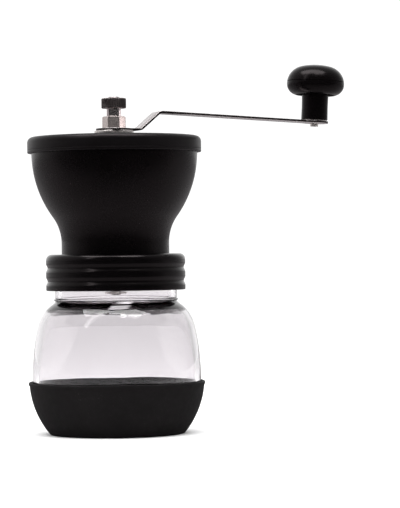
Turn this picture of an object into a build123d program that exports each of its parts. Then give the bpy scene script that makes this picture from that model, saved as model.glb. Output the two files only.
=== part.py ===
from build123d import *

import os
from math import acos, asin, atan2, cos, degrees, radians, sin, sqrt

# Hand crank coffee grinder with a glass catch jar. Millimetres, +Z up. The origin is on the grinder's
# axis, in the plane it stands on, and the crank points along +X. Round pieces are drawn as half
# sections in the XZ plane, with x as the radius, and revolved about Z.

# Jar: a blown glass belly with a standard 70 mm screw neck
jar_radius = 45.4
belly_z = 30.0
base_curve = 44.1
flank_curve = 130.0
flank_turn = 12.5
shoulder_curve = 20.0
neck_radius = 32.8
neck_shown = 6.3
glass_wall = 3.0
glass_floor = 6.0
push_up = 1.4
push_up_radius = 27.0
neck_bead = 0.7
neck_round = 1.8
glass_rim_round = 0.9
glass_floor_round = 5.0
thread_pitch = 5.0
thread_depth = 1.7
thread_root_width = 2.2
thread_crest_width = 1.2
jar_thread_turns = 1.3
collar_thread_turns = 1.0
thread_below_rim = 2.4
thread_root_bury = 0.6

# Rubber boot: a pulled-on sleeve with a floor
boot_wall = 1.6
boot_floor = 2.0
boot_gap = 0.3
boot_height = 28.4
boot_lip = 0.45
boot_lip_height = 1.7
boot_lip_round = 0.4
boot_foot_round = 0.8

# Screw collar and the seal under it
collar_wall = 2.7
collar_height = 19.6
collar_web = 2.8
collar_round = 3.2
collar_foot_round = 0.7
collar_groove_depth = 0.8
collar_groove_half = 1.5
collar_groove_low = 5.1
collar_groove_high = 12.3
thread_clearance = 0.4
seal_thickness = 1.6
seal_width = 4.3

# Hopper: waist, double curved flare, straight rim
waist_radius = 29.05
waist_height = 6.0
waist_curve = 24.3
mouth_radius = 44.8
flare_height = 49.0
rim_height = 5.8
hopper_wall = 2.5
hopper_flange = 2.2
flange_gap = 0.4
floor_thickness = 3.0
throat_radius = 17.0
wall_gap = 0.15
hopper_rim_round = 0.6
throat_round = 1.2

# Lid
lid_top = 2.5
lid_skirt = 8.7
lid_wall = 1.8
lid_clearance = 0.35
lid_round = 3.0
lid_hole_round = 0.7
lid_foot_round = 0.5
lid_hole_clearance = 0.5
lid_lip_wall = 1.8
lid_lip_drop = 2.0

# Burrs: the outer one is held in the hopper's foot, the inner one turns with the shaft
burr_radius = 21.0
burr_height = 13.0
burr_socket = 7.5
burr_socket_gap = 0.3
burr_exit_radius = 18.2
burr_slope = 0.23
burr_land = 4.0
burr_gap = 0.3
burr_mouth_radius = 17.0
burr_throat_height = 7.0
inner_burr_below = 1.0
inner_burr_height = 15.0
inner_burr_top_radius = 8.6
inner_burr_bore = 7.0
burr_teeth = 24
burr_tooth_depth = 0.5
burr_tooth_width = 1.0
feed_grooves = 6
feed_groove_radius = 1.5
feed_groove_twist = 50.0
feed_groove_foot_lift = 0.6
feed_groove_head_lift = 0.4
holder_flange = 2.8
holder_flange_radius = 28.8
holder_wall = 2.5
holder_lip = 2.0
holder_lip_radius = 19.6

# Drive shaft and what sits on its lower end
shaft_radius = 4.0
shaft_flats = 6.4
running_gap = 0.05
stud_radius = 3.0
grind_travel = 2.0
hub_flange = 2.0
hub_flange_radius = 15.0
hub_height = 10.0
hub_gap = 0.1
thrust_washer_thickness = 0.6
thrust_washer_radius = 8.0
thrust_washer_gap = 0.25
nut_height = 4.5
nut_radius = 13.0
nut_scallops = 8
nut_scallop_radius = 3.0
clip_travel_gap = 0.3
clip_thickness = 0.8
clip_radius = 6.0
clip_mouth = 3.0
groove_depth = 0.8
shaft_tail = 0.8
shaft_end_chamfer = 0.5
flats_below_washer_top = 0.2
shaft_round_below_bush = 1.0
spring_wire = 1.2
spring_mean_radius = 5.6
spring_turns = 4.5
spring_end_gap = 0.02

# Bearing bridge: three ribs and a tall tube, with a flanged bush at each end
tube_radius = 8.0
bush_radius = 5.5
bush_length = 10.0
lower_bush_flange = 1.2
lower_bush_flange_radius = 6.8
lower_bush_gap = 1.0
upper_bush_flange = 2.0
upper_bush_flange_radius = 8.0
bridge_arms = 3
rib_width = 5.0
rib_height = 8.0
rib_root = 1.2
pad_width = 8.0
pad_thickness = 3.2
pad_start_radius = 17.6
pad_end_gap = 0.65
pad_screw_radius = 23.4
first_arm = 90.0

# M3 screws, for the bridge and the burr holder
screw_radius = 1.4
screw_hole_radius = 1.5
screw_head_radius = 2.3
screw_head_height = 1.7
screw_grip = 5.2
hole_end_gap = 0.4
holder_screw_radius = 26.4
socket_width = 1.0
socket_depth = 0.8

# Hub stack above the lid
disc_above_lid = 1.7
disc_radius = 10.7
disc_thickness = 1.5
disc_notch_radius = 2.6
disc_notch_turn = -101.0
disc_notch_offset = 0.6
disc_round = 0.35
hex_across_flats = 11.0
hex_height = 6.5
hex_turn = -22.0
hex_chamfer = 0.25
spigot_wall = 0.45
shaft_below_hex_top = 0.7
nut_stud_radius = 2.4
nut_stud_length = 8.6
thumb_neck_radius = 4.0
thumb_neck_height = 4.3
thumb_head_radius = 6.7
thumb_head_height = 5.6
thumb_boss_radius = 3.25
thumb_boss_height = 0.8
knurls = 36
knurl_depth = 0.45
thumb_head_chamfer = 0.5
thumb_boss_taper = 30.0

# Crank: a flat strip with an upward joggle and a long run that falls slightly to the knob
crank_radius = 118.9
strip_thickness = 1.2
strip_width = 12.0
strip_hub_radius = 9.8
strip_end_radius = 7.7
joggle_start = 13.7
joggle_run = 11.3
joggle_rise = 9.6
joggle_round = 3.0
arm_fall = 2.8

# Knob: a hollow-bottomed mushroom on a shouldered rivet, square to the arm
washer_thickness = 0.5
washer_radius = 6.4
rivet_tenon_radius = 1.8
rivet_tail_radius = 2.3
rivet_tail_height = 1.8
rivet_radius = 3.0
rivet_length = 22.0
rivet_head_radius = 4.6
rivet_head_height = 1.4
rivet_end_gap = 0.1
rivet_head_gap = 0.6
rivet_cap_gap = 1.0
knob_stem_radius = 7.4
knob_stem_height = 13.9
knob_radius = 16.0
knob_crown_curve = 10.0
knob_crown_turn = 76.0
knob_under_curve = 6.3
knob_hollow = 3.6
knob_rim_land = 1.2
cap_seam = 1.3
cap_skirt_gap = 0.15
cap_skirt_drop = 1.6
cap_thickness = 2.4


def polar(radius, angle):
    return Vector(radius * cos(radians(angle)), radius * sin(radians(angle)))


# Heights that follow from the sizes above, from the table up to the knurled head
base_centre = Vector(jar_radius - base_curve, belly_z)
flank_centre = Vector(jar_radius - flank_curve, belly_z)
shoulder_centre = flank_centre + polar(flank_curve - shoulder_curve, flank_turn)
neck_angle = degrees(acos((neck_radius - shoulder_centre.X) / shoulder_curve))
neck_foot = shoulder_centre.Y + shoulder_curve * sin(radians(neck_angle))
collar_bottom = neck_foot + neck_shown
collar_top = collar_bottom + collar_height
web_bottom = collar_top - collar_web
flange_bottom = web_bottom - hopper_flange
jar_rim = flange_bottom - seal_thickness
waist_z = collar_top + waist_height
flare_top = waist_z + flare_height
hopper_rim = flare_top + rim_height
lid_top_z = hopper_rim + lid_top
disc_bottom = lid_top_z + disc_above_lid
plate_bottom = disc_bottom + disc_thickness
hex_bottom = plate_bottom + strip_thickness
hex_top = hex_bottom + hex_height
burr_top = flange_bottom + burr_socket
burr_bottom = burr_top - burr_height
floor_top = burr_top + floor_thickness
inner_burr_bottom = burr_bottom - inner_burr_below
hub_bottom = inner_burr_bottom - hub_flange
hub_top = hub_bottom + hub_height
thrust_washer_bottom = hub_bottom - thrust_washer_thickness
nut_bottom = thrust_washer_bottom - nut_height
clip_top = nut_bottom - grind_travel - clip_travel_gap
shaft_bottom = clip_top - clip_thickness - shaft_tail
tube_bottom = floor_top + pad_thickness
tube_top = disc_bottom - upper_bush_flange
spring_top = tube_bottom - lower_bush_flange

# Radii that follow
neck_bore = neck_radius - glass_wall
collar_bore = neck_radius + thread_depth + thread_clearance
collar_radius = collar_bore + collar_wall
socket_radius = burr_radius + burr_socket_gap
shaft_bore = shaft_radius + running_gap
spigot_radius = shaft_bore + spigot_wall
bush_bore = bush_radius + hub_gap
pad_end_radius = waist_radius - hopper_wall - pad_end_gap
mouth_bore = mouth_radius - hopper_wall
first_holder = first_arm + 180 / bridge_arms

# Two heights or radii nearer than this are the same one
touch = 0.01

os.makedirs("parts", exist_ok=True)


def rims(part, height):
    """The part's round edges at one height, the narrowest first."""
    circles = part.edges().filter_by(GeomType.CIRCLE)
    level = circles.filter_by(lambda edge: abs(edge.center().Z - height) < touch)
    return level.sort_by(SortBy.RADIUS)


def jar_side(inset, low_z, high_radius):
    """The jar's side curve, moved inwards by inset, from a height up to a radius on the shoulder."""
    low = degrees(asin((belly_z - low_z) / (base_curve - inset)))
    high = degrees(acos((high_radius - shoulder_centre.X) / (shoulder_curve - inset)))
    CenterArc(base_centre, base_curve - inset, -low, low)
    CenterArc(flank_centre, flank_curve - inset, 0, flank_turn)
    CenterArc(shoulder_centre, shoulder_curve - inset, flank_turn, high - flank_turn)
    low_point = base_centre + polar(base_curve - inset, -low)
    high_point = shoulder_centre + polar(shoulder_curve - inset, high)
    return low_point, high_point


def ridge_points(root, crest):
    """A thread ridge's section, along the radius from its buried root to its crest."""
    return [
        (root, -thread_root_width / 2),
        (crest, -thread_crest_width / 2),
        (crest, thread_crest_width / 2),
        (root, thread_root_width / 2),
    ]


# Jar. Wall, floor and neck in one blown piece, with a screw ridge of a little over one turn.
jar_ridge_top = jar_rim - thread_below_rim
jar_ridge_z = jar_ridge_top - thread_pitch * jar_thread_turns
glass_floor_z = boot_floor + glass_floor
with BuildPart() as jar:
    with BuildSketch(Plane.XZ):
        with BuildLine():
            foot, shoulder = jar_side(0, boot_floor, neck_radius)
            bottom, throat = jar_side(glass_wall, glass_floor_z, neck_bore)
            Line(shoulder, (neck_radius, jar_rim))
            Line((neck_radius, jar_rim), (neck_bore, jar_rim))
            Line((neck_bore, jar_rim), throat)
            Line(bottom, (0, glass_floor_z))
            Line((0, glass_floor_z), (0, boot_floor + push_up))
            Line((0, boot_floor + push_up), (push_up_radius, boot_floor))
            Line((push_up_radius, boot_floor), foot)
        make_face()
    revolve(axis=Axis.Z)
    fillet(rims(jar, jar_rim), glass_rim_round)
    fillet(rims(jar, glass_floor_z), glass_floor_round)
    fillet(rims(jar, neck_foot), neck_round)
    with BuildSketch(Plane.XZ):
        with Locations((neck_radius, neck_foot + 2 * neck_bead)):
            Circle(neck_bead)
    revolve(axis=Axis.Z)
    with BuildLine() as jar_helix:
        ridge_rise = thread_pitch * jar_thread_turns
        Helix(thread_pitch, ridge_rise, neck_radius, center=(0, 0, jar_ridge_z))
    start = jar_helix.line
    with BuildSketch(Plane(origin=start @ 0, x_dir=(1, 0, 0), z_dir=start % 0)):
        Polygon(*ridge_points(-thread_root_bury, thread_depth), align=None)
    sweep(path=start, is_frenet=True)
jar.part.label = "jar"
export_step(jar.part, "parts/jar.step")

# Boot. An even rubber wall that follows the glass, with a small lip round its open edge.
boot_outer = base_curve + boot_gap + boot_wall
boot_inner = base_curve + boot_gap
outer_low = degrees(asin(belly_z / boot_outer))
outer_high = degrees(asin((belly_z - boot_height + boot_lip_height) / boot_outer))
inner_low = degrees(asin((belly_z - boot_floor) / boot_inner))
inner_high = degrees(asin((belly_z - boot_height) / boot_inner))
with BuildPart() as boot:
    with BuildSketch(Plane.XZ):
        with BuildLine():
            outer = CenterArc(base_centre, boot_outer, -outer_low, outer_low - outer_high)
            inner = CenterArc(base_centre, boot_inner, -inner_low, inner_low - inner_high)
            lip_radius = (outer @ 1).X + boot_lip
            Polyline((outer @ 0), (0, 0), (0, boot_floor), (inner @ 0))
            Polyline(
                (outer @ 1),
                (lip_radius, (outer @ 1).Y),
                (lip_radius, boot_height),
                (inner @ 1),
            )
        make_face()
    revolve(axis=Axis.Z)
    fillet(rims(boot, (outer @ 1).Y)[-1], boot_lip_round)
    fillet(rims(boot, boot_height)[-1], boot_lip_round)
    fillet(rims(boot, 0), boot_foot_round)
boot.part.label = "boot"
export_step(boot.part, "parts/boot.step")

# Jar seal. A flat silicone ring between the jar's rim and the hopper's flange.
seal_outer = collar_bore - flange_gap
with BuildPart() as jar_seal:
    with BuildSketch(Plane.XY.offset(jar_rim)):
        Circle(seal_outer)
        Circle(seal_outer - seal_width, mode=Mode.SUBTRACT)
    extrude(amount=seal_thickness)
jar_seal.part.label = "jar_seal"
export_step(jar_seal.part, "parts/jar_seal.step")

# Screw collar. A moulded ring with an inward web that holds the hopper's flange, two grooves round
# its outside and one thread ridge inside, half a pitch away from the jar's.
collar_ridge_z = jar_ridge_z - thread_pitch / 2
with BuildPart() as screw_collar:
    with BuildSketch(Plane.XZ):
        with BuildLine():
            Polyline(
                (collar_bore, collar_bottom),
                (collar_radius, collar_bottom),
                (collar_radius, collar_bottom + collar_groove_low - collar_groove_half),
            )
            for groove, land_end in (
                (collar_groove_low, collar_groove_high - collar_groove_half),
                (collar_groove_high, collar_height),
            ):
                groove_z = collar_bottom + groove
                land_z = groove_z + collar_groove_half
                ThreePointArc(
                    (collar_radius, groove_z - collar_groove_half),
                    (collar_radius - collar_groove_depth, groove_z),
                    (collar_radius, land_z),
                )
                Line((collar_radius, land_z), (collar_radius, collar_bottom + land_end))
            Polyline(
                (collar_radius, collar_top),
                (waist_radius + wall_gap, collar_top),
                (waist_radius + wall_gap, web_bottom),
                (collar_bore, web_bottom),
                (collar_bore, collar_bottom),
            )
        make_face()
    revolve(axis=Axis.Z)
    fillet(rims(screw_collar, collar_top)[-1], collar_round)
    fillet(rims(screw_collar, collar_bottom), collar_foot_round)
    with BuildLine() as collar_helix:
        ridge_rise = thread_pitch * collar_thread_turns
        Helix(thread_pitch, ridge_rise, collar_bore, center=(0, 0, collar_ridge_z))
    start = collar_helix.line
    with BuildSketch(Plane(origin=start @ 0, x_dir=(1, 0, 0), z_dir=start % 0)):
        Polygon(*ridge_points(thread_root_bury, -thread_depth), align=None)
    sweep(path=start, is_frenet=True)
screw_collar.part.label = "screw_collar"
export_step(screw_collar.part, "parts/screw_collar.step")


def flare(inset):
    """The hopper's double curve, moved inwards by inset, from the waist up to the mouth."""
    turn = 2 * atan2(mouth_radius - waist_radius, flare_height)
    mouth_curve = flare_height / sin(turn) - waist_curve
    turn_degrees = degrees(turn)
    CenterArc((waist_radius + waist_curve, waist_z), waist_curve + inset, 180, -turn_degrees)
    CenterArc((mouth_radius - mouth_curve, flare_top), mouth_curve - inset, 0, -turn_degrees)


# Hopper. A moulded funnel. Its foot carries the clamped flange, the floor with the bean throat, and
# the socket for the outer burr.
flange_radius = seal_outer
foot_radius = waist_radius - hopper_wall
with BuildPart() as hopper:
    with BuildSketch(Plane.XZ):
        with BuildLine():
            flare(0)
            flare(hopper_wall)
            Polyline(
                (waist_radius, waist_z),
                (waist_radius, web_bottom),
                (flange_radius, web_bottom),
                (flange_radius, flange_bottom),
                (socket_radius, flange_bottom),
                (socket_radius, burr_top),
                (throat_radius, burr_top),
                (throat_radius, floor_top),
                (foot_radius, floor_top),
                (foot_radius, waist_z),
            )
            Polyline(
                (mouth_radius, flare_top),
                (mouth_radius, hopper_rim),
                (mouth_bore, hopper_rim),
                (mouth_bore, flare_top),
            )
        make_face()
    revolve(axis=Axis.Z)
    fillet(rims(hopper, hopper_rim), hopper_rim_round)
    fillet(rims(hopper, floor_top)[0], throat_round)
    with BuildSketch(Plane.XY.offset(floor_top)):
        with PolarLocations(pad_screw_radius, bridge_arms, first_arm):
            Circle(screw_hole_radius)
    extrude(amount=-screw_grip - hole_end_gap, mode=Mode.SUBTRACT)
    with BuildSketch(Plane.XY.offset(flange_bottom)):
        with PolarLocations(holder_screw_radius, bridge_arms, first_holder):
            Circle(screw_hole_radius)
    extrude(amount=screw_grip + hole_end_gap, mode=Mode.SUBTRACT)
hopper.part.label = "hopper"
export_step(hopper.part, "parts/hopper.step")

# Bearing bridge. A tall tube on three ribs, whose feet are screwed to the hopper's floor.
with BuildPart() as bearing_bridge:
    with BuildSketch(Plane.XY.offset(tube_bottom)):
        Circle(tube_radius)
    extrude(amount=tube_top - tube_bottom)
    with BuildSketch(Plane.XY.offset(floor_top)):
        with PolarLocations(0, bridge_arms, first_arm):
            with Locations(((tube_radius + pad_start_radius) / 2, 0)):
                Rectangle(pad_start_radius - tube_radius + 2 * rib_root, rib_width)
    extrude(amount=rib_height)
    with BuildSketch(Plane.XY.offset(floor_top)):
        with PolarLocations(0, bridge_arms, first_arm):
            with Locations(((pad_start_radius + pad_end_radius) / 2, 0)):
                Rectangle(pad_end_radius - pad_start_radius, pad_width)
    extrude(amount=pad_thickness)
    with BuildSketch(Plane.XY.offset(floor_top)):
        Circle(bush_bore)
        with PolarLocations(pad_screw_radius, bridge_arms, first_arm):
            Circle(screw_hole_radius)
    extrude(amount=tube_top - floor_top, mode=Mode.SUBTRACT)
    with BuildSketch(Plane.XY.offset(floor_top)):
        Circle(lower_bush_flange_radius + lower_bush_gap)
    extrude(amount=pad_thickness, mode=Mode.SUBTRACT)
bearing_bridge.part.label = "bearing_bridge"
export_step(bearing_bridge.part, "parts/bearing_bridge.step")

# Bushes. Two flanged plain bearings pressed into the ends of the bridge's tube.
with BuildPart() as lower_bush:
    with BuildSketch(Plane.XY.offset(spring_top)):
        Circle(lower_bush_flange_radius)
    extrude(amount=lower_bush_flange)
    with BuildSketch(Plane.XY.offset(tube_bottom)):
        Circle(bush_radius)
    extrude(amount=bush_length)
    with Locations((0, 0, spring_top)):
        Cylinder(shaft_bore, 3 * bush_length, mode=Mode.SUBTRACT)
lower_bush.part.label = "lower_bush"
export_step(lower_bush.part, "parts/lower_bush.step")

with BuildPart() as upper_bush:
    with BuildSketch(Plane.XY.offset(tube_top)):
        Circle(upper_bush_flange_radius)
    extrude(amount=upper_bush_flange)
    with BuildSketch(Plane.XY.offset(tube_top)):
        Circle(bush_radius)
    extrude(amount=-bush_length)
    with Locations((0, 0, tube_top)):
        Cylinder(shaft_bore, 3 * bush_length, mode=Mode.SUBTRACT)
upper_bush.part.label = "upper_bush"
export_step(upper_bush.part, "parts/upper_bush.step")

# Screws. Cap heads on plain shanks: three down through the bridge's feet, three up through the holder.
with BuildPart() as bridge_screws:
    with BuildSketch(Plane.XY.offset(tube_bottom)):
        with PolarLocations(pad_screw_radius, bridge_arms, first_arm):
            Circle(screw_head_radius)
    extrude(amount=screw_head_height)
    with BuildSketch(Plane.XY.offset(tube_bottom)):
        with PolarLocations(pad_screw_radius, bridge_arms, first_arm):
            Circle(screw_radius)
    extrude(amount=-pad_thickness - screw_grip)
    with BuildSketch(Plane.XY.offset(tube_bottom + screw_head_height)):
        with PolarLocations(pad_screw_radius, bridge_arms, first_arm):
            RegularPolygon(socket_width, 6)
    extrude(amount=-socket_depth, mode=Mode.SUBTRACT)
bridge_screws.part.label = "bridge_screws"
export_step(bridge_screws.part, "parts/bridge_screws.step")

holder_flange_bottom = flange_bottom - holder_flange
with BuildPart() as holder_screws:
    with BuildSketch(Plane.XY.offset(holder_flange_bottom)):
        with PolarLocations(holder_screw_radius, bridge_arms, first_holder):
            Circle(screw_head_radius)
    extrude(amount=-screw_head_height)
    with BuildSketch(Plane.XY.offset(holder_flange_bottom)):
        with PolarLocations(holder_screw_radius, bridge_arms, first_holder):
            Circle(screw_radius)
    extrude(amount=holder_flange + screw_grip)
    with BuildSketch(Plane.XY.offset(holder_flange_bottom - screw_head_height)):
        with PolarLocations(holder_screw_radius, bridge_arms, first_holder):
            RegularPolygon(socket_width, 6)
    extrude(amount=socket_depth, mode=Mode.SUBTRACT)
holder_screws.part.label = "holder_screws"
export_step(holder_screws.part, "parts/holder_screws.step")

# Outer burr. A ceramic ring, wider at the mouth and at the exit, with small teeth on its lower cone.
burr_narrow_z = burr_top - burr_throat_height
burr_narrow_radius = burr_exit_radius - burr_slope * (burr_height - burr_throat_height)
with BuildPart() as outer_burr:
    with BuildSketch(Plane.XZ):
        with BuildLine():
            Polyline(
                (burr_exit_radius, burr_bottom),
                (burr_radius, burr_bottom),
                (burr_radius, burr_top),
                (burr_mouth_radius, burr_top),
                (burr_narrow_radius, burr_narrow_z),
                close=True,
            )
        make_face()
    revolve(axis=Axis.Z)
    with BuildSketch(Plane.XY.offset(burr_bottom)):
        with PolarLocations(burr_exit_radius, burr_teeth):
            Rectangle(2 * burr_tooth_depth, burr_tooth_width, rotation=45)
    extrude(amount=burr_height, mode=Mode.SUBTRACT)
outer_burr.part.label = "outer_burr"
export_step(outer_burr.part, "parts/outer_burr.step")

# Burr holder. A flanged cup that clamps the outer burr up into the hopper's socket.
with BuildPart() as burr_holder:
    with BuildSketch(Plane.XZ):
        with BuildLine():
            Polyline(
                (socket_radius, burr_bottom),
                (socket_radius, flange_bottom),
                (holder_flange_radius, flange_bottom),
                (holder_flange_radius, holder_flange_bottom),
                (socket_radius + holder_wall, holder_flange_bottom),
                (socket_radius + holder_wall, burr_bottom - holder_lip),
                (holder_lip_radius, burr_bottom - holder_lip),
                (holder_lip_radius, burr_bottom),
                close=True,
            )
        make_face()
    revolve(axis=Axis.Z)
    with BuildSketch(Plane.XY.offset(holder_flange_bottom)):
        with PolarLocations(holder_screw_radius, bridge_arms, first_holder):
            Circle(screw_hole_radius)
    extrude(amount=holder_flange, mode=Mode.SUBTRACT)
burr_holder.part.label = "burr_holder"
export_step(burr_holder.part, "parts/burr_holder.step")

# Inner burr. A ceramic cone with a short grinding land at its foot, small teeth on the land and deep
# slanted grooves that draw beans down.
land_bottom_radius = burr_exit_radius - burr_gap + burr_slope * inner_burr_below
land_top_z = burr_bottom + burr_land
land_top_radius = burr_exit_radius - burr_gap - burr_slope * burr_land
inner_burr_top = inner_burr_bottom + inner_burr_height
with BuildPart() as inner_burr:
    with BuildSketch(Plane.XZ):
        with BuildLine():
            Polyline(
                (inner_burr_bore, inner_burr_bottom),
                (land_bottom_radius, inner_burr_bottom),
                (land_top_radius, land_top_z),
                (inner_burr_top_radius, inner_burr_top),
                (inner_burr_bore, inner_burr_top),
                close=True,
            )
        make_face()
    revolve(axis=Axis.Z)
    for n in range(feed_grooves):
        groove_angle = 360 / feed_grooves * n
        foot = polar(land_top_radius + feed_groove_foot_lift, groove_angle)
        head = polar(inner_burr_top_radius + feed_groove_head_lift, groove_angle + feed_groove_twist)
        slant = Vector(head.X - foot.X, head.Y - foot.Y, inner_burr_top - land_top_z)
        with BuildSketch(Plane(origin=(foot.X, foot.Y, land_top_z), z_dir=slant)):
            Circle(feed_groove_radius)
        extrude(amount=slant.length + 2 * feed_groove_radius, mode=Mode.SUBTRACT)
    with BuildSketch(Plane.XY.offset(inner_burr_bottom)):
        with PolarLocations(land_top_radius + burr_tooth_depth, burr_teeth):
            Rectangle(2 * burr_tooth_depth, burr_tooth_width, rotation=45)
    extrude(amount=burr_land + inner_burr_below, mode=Mode.SUBTRACT)
inner_burr.part.label = "inner_burr"
export_step(inner_burr.part, "parts/inner_burr.step")

# Burr hub. A flanged plastic carrier in the inner burr's bore that slides on the shaft's flats.
with BuildPart() as burr_hub:
    with BuildSketch(Plane.XY.offset(hub_bottom)):
        Circle(hub_flange_radius)
    extrude(amount=hub_flange)
    with BuildSketch(Plane.XY.offset(hub_bottom)):
        Circle(inner_burr_bore - hub_gap)
    extrude(amount=hub_height)
    with BuildSketch(Plane.XY.offset(hub_bottom)):
        Circle(shaft_bore)
        Rectangle(3 * shaft_bore, shaft_flats + 2 * running_gap, mode=Mode.INTERSECT)
    extrude(amount=hub_height, mode=Mode.SUBTRACT)
burr_hub.part.label = "burr_hub"
export_step(burr_hub.part, "parts/burr_hub.step")

# Drive shaft. Round where it runs in the bushes, flatted for the burr hub, the disc and the crank,
# with a threaded end for the adjusting nut below and a stud for the knurled nut on top.
flats_bottom = thrust_washer_bottom + flats_below_washer_top
flats_top = spring_top - shaft_round_below_bush
shaft_flats_end = hex_top - shaft_below_hex_top
shaft_top = shaft_flats_end + nut_stud_length
clip_groove_radius = stud_radius - groove_depth
with BuildPart() as drive_shaft:
    with BuildSketch(Plane.XY.offset(shaft_bottom)):
        Circle(stud_radius)
    extrude(amount=flats_bottom - shaft_bottom)
    with BuildSketch(Plane.XY.offset(flats_bottom)):
        Circle(shaft_radius)
        Rectangle(3 * shaft_radius, shaft_flats, mode=Mode.INTERSECT)
    extrude(amount=flats_top - flats_bottom)
    with BuildSketch(Plane.XY.offset(flats_top)):
        Circle(shaft_radius)
    extrude(amount=disc_bottom - flats_top)
    with BuildSketch(Plane.XY.offset(disc_bottom)):
        Circle(shaft_radius)
        Rectangle(3 * shaft_radius, shaft_flats, mode=Mode.INTERSECT)
    extrude(amount=shaft_flats_end - disc_bottom)
    with BuildSketch(Plane.XY.offset(shaft_flats_end)):
        Circle(nut_stud_radius)
    extrude(amount=nut_stud_length)
    with BuildSketch(Plane.XY.offset(clip_top - clip_thickness)):
        Circle(2 * stud_radius)
        Circle(clip_groove_radius, mode=Mode.SUBTRACT)
    extrude(amount=clip_thickness, mode=Mode.SUBTRACT)
    chamfer(rims(drive_shaft, shaft_bottom), shaft_end_chamfer)
    chamfer(rims(drive_shaft, shaft_top), shaft_end_chamfer)
drive_shaft.part.label = "drive_shaft"
export_step(drive_shaft.part, "parts/drive_shaft.step")

# Burr spring. An open coil round the shaft that pushes the hub down on to the nut.
spring_run = spring_top - hub_top - spring_wire
with BuildPart() as burr_spring:
    with BuildLine() as coil:
        coil_foot = (0, 0, hub_top + spring_wire / 2)
        Helix(spring_run / spring_turns, spring_run, spring_mean_radius, center=coil_foot)
    with BuildSketch(Plane(origin=coil.line @ 0, x_dir=(1, 0, 0), z_dir=coil.line % 0)):
        Circle(spring_wire / 2 - spring_end_gap)
    sweep(path=coil.line, is_frenet=True)
burr_spring.part.label = "burr_spring"
export_step(burr_spring.part, "parts/burr_spring.step")

# Thrust washer, adjusting nut and retaining clip on the shaft's threaded end.
with BuildPart() as thrust_washer:
    with BuildSketch(Plane.XY.offset(thrust_washer_bottom)):
        Circle(thrust_washer_radius)
        Circle(shaft_radius + thrust_washer_gap, mode=Mode.SUBTRACT)
    extrude(amount=thrust_washer_thickness)
thrust_washer.part.label = "thrust_washer"
export_step(thrust_washer.part, "parts/thrust_washer.step")

with BuildPart() as adjusting_nut:
    with BuildSketch(Plane.XY.offset(nut_bottom)):
        Circle(nut_radius)
        with PolarLocations(nut_radius + nut_scallop_radius / 2, nut_scallops):
            Circle(nut_scallop_radius, mode=Mode.SUBTRACT)
        Circle(stud_radius + running_gap, mode=Mode.SUBTRACT)
    extrude(amount=nut_height)
adjusting_nut.part.label = "adjusting_nut"
export_step(adjusting_nut.part, "parts/adjusting_nut.step")

with BuildPart() as retaining_clip:
    with BuildSketch(Plane.XY.offset(clip_top - clip_thickness)):
        Circle(clip_radius)
        Circle(clip_groove_radius + running_gap, mode=Mode.SUBTRACT)
        with Locations((clip_radius, 0)):
            Rectangle(2 * clip_radius, clip_mouth, mode=Mode.SUBTRACT)
    extrude(amount=clip_thickness)
retaining_clip.part.label = "retaining_clip"
export_step(retaining_clip.part, "parts/retaining_clip.step")


def cap_section(lip_bottom):
    """Half section of the lid: flat top, outer skirt and a short lip round the hole."""
    hole = disc_radius + lid_hole_clearance
    skirt_bore = mouth_radius + lid_clearance
    lid_radius = skirt_bore + lid_wall
    return [
        (hole, lid_top_z),
        (hole, lip_bottom),
        (hole + lid_lip_wall, lip_bottom),
        (hole + lid_lip_wall, hopper_rim),
        (skirt_bore, hopper_rim),
        (skirt_bore, lid_top_z - lid_skirt),
        (lid_radius, lid_top_z - lid_skirt),
        (lid_radius, lid_top_z),
    ]


# Lid. A moulded cap that drops over the hopper's rim, with a hole that clears the disc.
with BuildPart() as lid:
    with BuildSketch(Plane.XZ):
        with BuildLine():
            Polyline(*cap_section(hopper_rim - lid_lip_drop), close=True)
        make_face()
    revolve(axis=Axis.Z)
    fillet(rims(lid, lid_top_z)[-1], lid_round)
    fillet(rims(lid, lid_top_z)[0], lid_hole_round)
    fillet(rims(lid, lid_top_z - lid_skirt), lid_foot_round)
lid.part.label = "lid"
export_step(lid.part, "parts/lid.step")

# Seat disc. A keyed washer on the shaft's shoulder that carries the shaft and the crank.
with BuildPart() as seat_disc:
    with BuildSketch(Plane.XY.offset(disc_bottom)):
        Circle(disc_radius)
        with Locations(polar(disc_radius + disc_notch_offset, disc_notch_turn)):
            Circle(disc_notch_radius, mode=Mode.SUBTRACT)
    extrude(amount=disc_thickness)
    fillet(seat_disc.edges().filter_by(GeomType.CIRCLE), disc_round)
    with BuildSketch(Plane.XY.offset(disc_bottom)):
        Circle(shaft_bore)
        Rectangle(3 * shaft_bore, shaft_flats + 2 * running_gap, mode=Mode.INTERSECT)
    extrude(amount=disc_thickness, mode=Mode.SUBTRACT)
seat_disc.part.label = "seat_disc"
export_step(seat_disc.part, "parts/seat_disc.step")

# Hex boss. Its round spigot is staked into the crank's hub and its bore fits the shaft's flats.
with BuildPart() as hex_boss:
    with BuildSketch(Plane.XY.offset(hex_bottom)):
        RegularPolygon(hex_across_flats / 2, 6, major_radius=False, rotation=hex_turn)
    extrude(amount=hex_height)
    chamfer(hex_boss.edges().group_by(Axis.Z)[-1], hex_chamfer)
    with BuildSketch(Plane.XY.offset(plate_bottom)):
        Circle(spigot_radius)
    extrude(amount=strip_thickness)
    with BuildSketch(Plane.XY.offset(plate_bottom)):
        Circle(shaft_bore)
        Rectangle(3 * shaft_bore, shaft_flats + 2 * running_gap, mode=Mode.INTERSECT)
    extrude(amount=strip_thickness + hex_height, mode=Mode.SUBTRACT)
hex_boss.part.label = "hex_boss"
export_step(hex_boss.part, "parts/hex_boss.step")

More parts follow.
